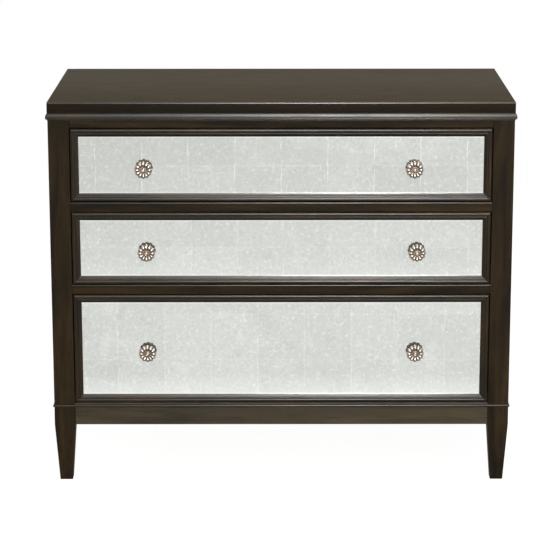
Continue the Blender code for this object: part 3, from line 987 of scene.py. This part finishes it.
# %% Twelve strips
turns = {"top": 0.0, "right": math.pi / 2, "bottom": math.pi, "left": -math.pi / 2}
for number in (1, 2, 3):
    drawer = f"drawer_{number}"
    top_low, top_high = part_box(f"{drawer}_moulding_top")
    bottom_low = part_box(f"{drawer}_moulding_bottom")[0]
    low, high = Vector((top_low.x, top_low.y, bottom_low.z)), Vector((top_high.x, top_high.y, top_high.z))
    for hand, turn in turns.items():
        strip = moulding_strip(drawer, hand, low, high, turn)
        off = Vector(strip.bound_box[0]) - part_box(f"{drawer}_moulding_{hand}")[0]
        print(f"{strip.name}: off the frame's own strip by {max(map(abs, off)) * 1000:.2f} mm")

# %% [markdown]
# ## The knobs
#
# Each knob is a cast rosette in antiqued nickel: a button and a ring in a bowl, twelve rounded petals, a
# waist to hold and a flared foot on the panel. The blank is a disc extruded ring by ring from the stud to
# the front, as a lathe would turn it. One attribute will hold how dark each point is, and the finish
# darkens there: a wax patina settles in the hollows of a casting, and the outer rim of the petals takes
# painted shade.

# %% Antique nickel
nickel_bright = (0.285, 0.255, 0.235, 1.0)
nickel_warm = (0.255, 0.212, 0.180, 1.0)
patina_and_shade_brown = (0.050, 0.040, 0.028, 1.0)
smudge_scale, smudge_reach = 380.0, 0.12
cast_scale, cast_depth = 1500.0, 0.00003

nickel_finish, tree, shader = new_finish("antique_nickel", Metallic=1.0)
# The attribute holds patina in the hollows and painted shade on the outer rim of the petals
depth = add_node(tree, "ShaderNodeAttribute", attribute_name="patina_and_shade").outputs["Fac"]
place = add_node(tree, "ShaderNodeTexCoord").outputs["Object"]
smudge = patterned(tree, place, smudge_scale, detail=3.0, roughness=0.6)
patina_and_shade_amount = combined(tree, "ADD", depth, rescaled(tree, smudge, 0.3, 0.7, -smudge_reach, smudge_reach))
metal = blend_colours(tree, rescaled(tree, patina_and_shade_amount, 0.05, 0.45), nickel_bright, nickel_warm)
metal = blend_colours(tree, rescaled(tree, patina_and_shade_amount, 0.45, 0.95), metal, patina_and_shade_brown)
tree.links.new(metal, shader.inputs["Base Color"])
tree.links.new(rescaled(tree, patina_and_shade_amount, 0.0, 1.0, 0.34, 0.60), shader.inputs["Roughness"])
tree.links.new(relief(tree, patterned(tree, place, cast_scale), cast_depth), shader.inputs["Normal"])
print("Antique nickel, with its colours:", nickel_bright[:3], nickel_warm[:3], patina_and_shade_brown[:3])

# %% Outline of the knob
# From the foot to the front, in shares of the knob's radius and length, with how much of the petals shows
knob_ring_shares = (
    (0.421, 0.000, 0.0),
    (0.430, 0.025, 0.0),
    (0.416, 0.060, 0.0),
    (0.352, 0.095, 0.0),
    (0.284, 0.140, 0.0),
    (0.256, 0.190, 0.0),
    (0.244, 0.260, 0.0),
    (0.252, 0.330, 0.0),
    (0.284, 0.395, 0.0),
    (0.391, 0.445, 0.0),
    (0.587, 0.500, 0.2),
    (0.782, 0.545, 0.5),
    (0.919, 0.575, 0.8),
    (0.988, 0.600, 1.0),
    (1.017, 0.640, 1.0),
    (1.002, 0.690, 1.0),
    (0.963, 0.745, 1.0),
    (0.910, 0.805, 1.0),
    (0.841, 0.865, 1.0),
    (0.782, 0.910, 1.0),
    (0.724, 0.935, 1.0),
    (0.665, 0.935, 1.0),
    (0.606, 0.915, 0.9),
    (0.548, 0.880, 0.8),
    (0.489, 0.845, 0.6),
    (0.421, 0.815, 0.4),
    (0.352, 0.800, 0.2),
    (0.284, 0.805, 0.0),
    (0.235, 0.825, 0.0),
    (0.217, 0.875, 0.0),
    (0.196, 0.915, 0.0),
    (0.171, 0.925, 0.0),
    (0.152, 0.905, 0.0),
    (0.137, 0.905, 0.0),
    (0.122, 0.940, 0.0),
    (0.093, 0.980, 0.0),
    (0.049, 1.000, 0.0),
)
print("Rings of the knob:", len(knob_ring_shares))

# %% Knob blank
petal_count = 12
columns_per_petal = 8
stud_radius = 0.0020
stud_length = 0.0190
panel_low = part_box("drawer_1_silver_panel")[0]
knob_low, knob_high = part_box("drawer_1_knob_left")
knob_radius = (knob_high.x - knob_low.x) / 2
knob_length = panel_low.y - seat_gap - knob_low.y


def turn_ring(radius, height, last_radius, last_height):
    """Extrudes the selected disc to the next ring of the outline."""
    bpy.ops.mesh.extrude_region_move(TRANSFORM_OT_translate={"value": (0, 0, height - last_height)})
    growth = radius / last_radius
    bpy.ops.transform.resize(value=(growth, growth, 1), center_override=(0, 0, height))


bpy.ops.object.select_all(action="DESELECT")
bpy.ops.mesh.primitive_circle_add(
    vertices=petal_count * columns_per_petal,
    radius=stud_radius,
    fill_type="NGON",
    location=(0, 0, -stud_length),
)
rosette = bpy.context.object
rosette.name = "rosette_knob"
bpy.ops.object.mode_set(mode="EDIT")
bpy.ops.mesh.select_all(action="SELECT")
last_radius, last_height = stud_radius, -stud_length
turn_ring(stud_radius, 0.0, last_radius, last_height)
last_height = 0.0
for wide, far, petal_share in knob_ring_shares:
    turn_ring(knob_radius * wide, knob_length * far, last_radius, last_height)
    last_radius, last_height = knob_radius * wide, knob_length * far
bpy.ops.mesh.merge(type="CENTER")
bpy.ops.object.mode_set(mode="OBJECT")
bpy.ops.object.transform_apply(location=True)
print(f"Knob blank: {knob_radius * 2000:.1f} mm across, {len(rosette.data.vertices)} points")

# %% [markdown]
# ### Petals
#
# On every petal ring the columns between two ridges are scaled in and pushed back, most at the valley.
# One level of subdivision then rounds the petals, so the blank needs only eight columns for each.

# %% Press the petals
petal_drop = 0.0022
petal_notch = 0.10
underside_share = 0.62
underside_drop_share = 0.25
valley_reach, least_valley = 0.002, 0.01
knob_smooth_angle = 38


def valley_at(place):
    """1 in the valley between two petals and 0 on a ridge."""
    return 1 - abs(math.cos(math.atan2(place.y, place.x) * petal_count / 2))


def press_column(wide, far, petal_share, valley):
    """Scales in and pushes back the points of one ring that lie this deep in the valleys."""
    ring_radius, ring_height = knob_radius * wide, knob_length * far

    def in_column(place):
        on_ring = abs(place.z - ring_height) < hair and abs(place.to_2d().length - ring_radius) < hair
        return on_ring and abs(valley_at(place) - valley) < valley_reach

    if choose(rosette, "verts", in_column):
        inwards = 1 - petal_notch * petal_share * valley * wide
        bpy.ops.transform.resize(value=(inwards, inwards, 1), center_override=(0, 0, ring_height))
        back = petal_drop * petal_share * valley * (1 if far > underside_share else underside_drop_share)
        bpy.ops.transform.translate(value=(0, 0, -back))


bpy.ops.object.mode_set(mode="EDIT")
valley_steps = sorted(
    {round(valley_at(v.co), 3) for v in rosette.data.vertices if v.co.to_2d().length > stud_radius}
)
for wide, far, petal_share in knob_ring_shares:
    for valley in valley_steps:
        if petal_share and valley > least_valley:
            press_column(wide, far, petal_share, valley)
bpy.ops.mesh.select_all(action="SELECT")
bpy.ops.mesh.normals_make_consistent(inside=False)
bpy.ops.object.mode_set(mode="OBJECT")
smoother = rosette.modifiers.new("Smoother", "SUBSURF")
smoother.levels = 1
smoother.render_levels = 1
bpy.ops.object.modifier_apply(modifier=smoother.name)
bpy.ops.object.shade_smooth_by_angle(angle=math.radians(knob_smooth_angle))
print(f"Rosette: {len(rosette.data.polygons)} faces, {len(valley_steps)} columns from ridge to valley")

# %% [markdown]
# ### Patina, painted shade and copies
#
# The attribute is filled in from each point's place: full behind the petals, nearly so in the grooves of
# the button and the ring, and less in the bowl and down the valleys, which is patina; towards the outer
# rim of the petals it rises as painted shade. Then the knob is turned to face the front and copied to its
# six places, each copy with a mesh of its own.

# %% Patina in the hollows and painted shade on the rim
# The button, its groove, the ring and its groove: how far each reaches in the radius, and how deep it lies
middle_recess_shares = ((0.12, 0.40), (0.15, 0.90), (0.22, 0.38), (0.29, 0.90))
# Towards the outer rim of the petals the knob darkens: painted shade
skirt_start, skirt_reach, skirt_painted_shade = 0.84, 0.12, 0.55
bowl_middle, bowl_reach, bowl_recess = 0.40, 0.28, 0.80
valley_power = 0.8


def patina_and_shade_at(place):
    """How dark a point of the knob is, from 0 to 1: patina in its hollows, painted shade on the outer rim
    of its petals.
    """
    wide = place.to_2d().length / knob_radius
    if place.z / knob_length < underside_share:
        return 1.0
    for reach, patina_and_shade in middle_recess_shares:
        if wide < reach:
            return patina_and_shade
    skirt = max(0.0, min(1.0, (wide - skirt_start) / skirt_reach)) * skirt_painted_shade
    bowl = max(0.0, 1 - abs(wide - bowl_middle) / bowl_reach) * bowl_recess
    return min(1.0, max(skirt, bowl + valley_at(place) ** valley_power))


patina_and_shade = rosette.data.attributes.new("patina_and_shade", "FLOAT", "POINT")
for point, value in zip(rosette.data.vertices, patina_and_shade.data):
    value.value = patina_and_shade_at(point.co)
rosette.rotation_euler.x = math.pi / 2
select_only(rosette)
bpy.ops.object.transform_apply(rotation=True)
rosette.data.materials.clear()
rosette.data.materials.append(nickel_finish)
print(f"Patina on {sum(value.value > 0.5 for value in patina_and_shade.data)} of {len(patina_and_shade.data)} points")

# %% Six knobs
for number in (1, 2, 3):
    for hand in ("left", "right"):
        node = f"drawer_{number}_knob_{hand}"
        low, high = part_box(node)
        knob = copy_of(rosette, f"{node}_rosette")
        knob.location = ((low.x + high.x) / 2, low.y + knob_length, (low.z + high.z) / 2)
        bpy.ops.object.transform_apply(location=True)
        stand_for(knob, f"drawer_{number}", node)
bpy.data.objects.remove(rosette)

# %% [markdown]
# ## The screws
#
# Each knob's stud is drawn tight from inside the drawer by a slotted screw on a washer, and each runner is
# held to its two posts by screws sunk almost level with the wood, because the drawer's groove passes close
# over them. A head is a short cylinder with its rim rounded over, and a thin block cuts the slot. The
# washer is a second disc under it, joined to the head so that the pair is one piece. Each screw is a copy
# of its pattern, and its slot stops at another angle, as driven screws do.

# %% A disc and a slotted head
disc_sides, rim_share, rim_steps = 32, 0.9, 4
slot_width, slot_depth = 0.0009, 0.0008


def turned_disc(radius, low, high, rim):
    """A short cylinder on the Z axis, from low to high, with its upper rim rounded over."""
    bpy.ops.object.select_all(action="DESELECT")
    bpy.ops.mesh.primitive_cylinder_add(
        vertices=disc_sides,
        radius=radius,
        depth=high - low,
        location=(0, 0, (low + high) / 2),
    )
    disc = bpy.context.object
    bpy.ops.object.transform_apply(location=True)
    bpy.ops.object.mode_set(mode="EDIT")
    choose(disc, "edges", lambda place: place.z > high - hair and place.to_2d().length > radius * rim_share)
    bpy.ops.mesh.bevel(offset=rim, segments=rim_steps, affect="EDGES")
    bpy.ops.object.mode_set(mode="OBJECT")
    return disc


def slotted_head(radius, low, high, rim):
    """A screw head with a slot across it."""
    head = turned_disc(radius, low, high, rim)
    bpy.ops.object.select_all(action="DESELECT")
    slot_size = (3 * radius, slot_width, 2 * slot_depth)
    bpy.ops.mesh.primitive_cube_add(size=1, location=(0, 0, high), scale=slot_size)
    blade = bpy.context.object
    slot_cut = head.modifiers.new("Slot", "BOOLEAN")
    slot_cut.operation = "DIFFERENCE"
    slot_cut.solver = "EXACT"
    slot_cut.object = blade
    bpy.context.view_layer.objects.active = head
    bpy.ops.object.modifier_apply(modifier=slot_cut.name)
    bpy.data.objects.remove(blade)
    return head


print(f"Slots are {slot_width * 1000:.1f} mm wide and {slot_depth * 1000:.1f} mm deep")

# %% The two screws
washer_radius, washer_height, washer_rim = 0.0065, 0.0010, 0.0003
knob_head_radius, knob_head_height, knob_head_rim = 0.0040, 0.0024, 0.0012
runner_head_radius, runner_head_rim = 0.0038, 0.0002
sunk_depth, sunk_stand = 0.0014, 0.0003
knob_head_top = washer_height + knob_head_height
knob_screw = slotted_head(knob_head_radius, washer_height, knob_head_top, knob_head_rim)
washer = turned_disc(washer_radius, 0.0, washer_height, washer_rim)
select_only(knob_screw, washer)
bpy.ops.object.join()
runner_screw = slotted_head(runner_head_radius, -sunk_depth, sunk_stand, runner_head_rim)
for pattern in (knob_screw, runner_screw):
    print("Screw head:", [round(v * 1000, 1) for v in pattern.dimensions], "mm")

# %% Screws in place
slot_quarters = 0.37


def set_screw(pattern, name, place, way, quarters, body):
    """A copy of the pattern at this place, facing this way, with its slot turned by these quarters."""
    screw = copy_of(pattern, name)
    facing = Vector(way).to_track_quat("Z", "Y").to_matrix().to_4x4()
    turned = Matrix.Rotation(quarters * math.pi / 2, 4, "Z")
    screw.matrix_world = Matrix.Translation(place) @ facing @ turned
    bpy.ops.object.mode_set(mode="EDIT")
    finish_piece(screw, nickel_finish)
    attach(screw, body)


post_middles = [sum(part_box(f"{end}_left_post")[way].y for way in (0, 1)) / 2 for end in ("front", "rear")]
count = 0
for number in (1, 2, 3):
    board_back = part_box(f"drawer_{number}_front_board")[1].y
    for hand, inwards in (("left", 1), ("right", -1)):
        knob_low, knob_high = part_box(f"drawer_{number}_knob_{hand}")
        stud = Vector(((knob_low.x + knob_high.x) / 2, board_back, (knob_low.z + knob_high.z) / 2))
        count += 1
        name = f"drawer_{number}_knob_screw_{hand}"
        set_screw(knob_screw, name, stud, (0, 1, 0), count * slot_quarters, f"drawer_{number}")
        low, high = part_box(f"drawer_{number}_runner_{hand}")
        inner = high.x if hand == "left" else low.x
        for end, post_middle in zip(("front", "rear"), post_middles):
            place = Vector((inner, post_middle, (low.z + high.z) / 2))
            count += 1
            name = f"drawer_{number}_runner_screw_{end}_{hand}"
            set_screw(runner_screw, name, place, (inwards, 0, 0), count * slot_quarters, "carcass")
for pattern in (knob_screw, runner_screw):
    bpy.data.objects.remove(pattern)
print("Screws:", count)
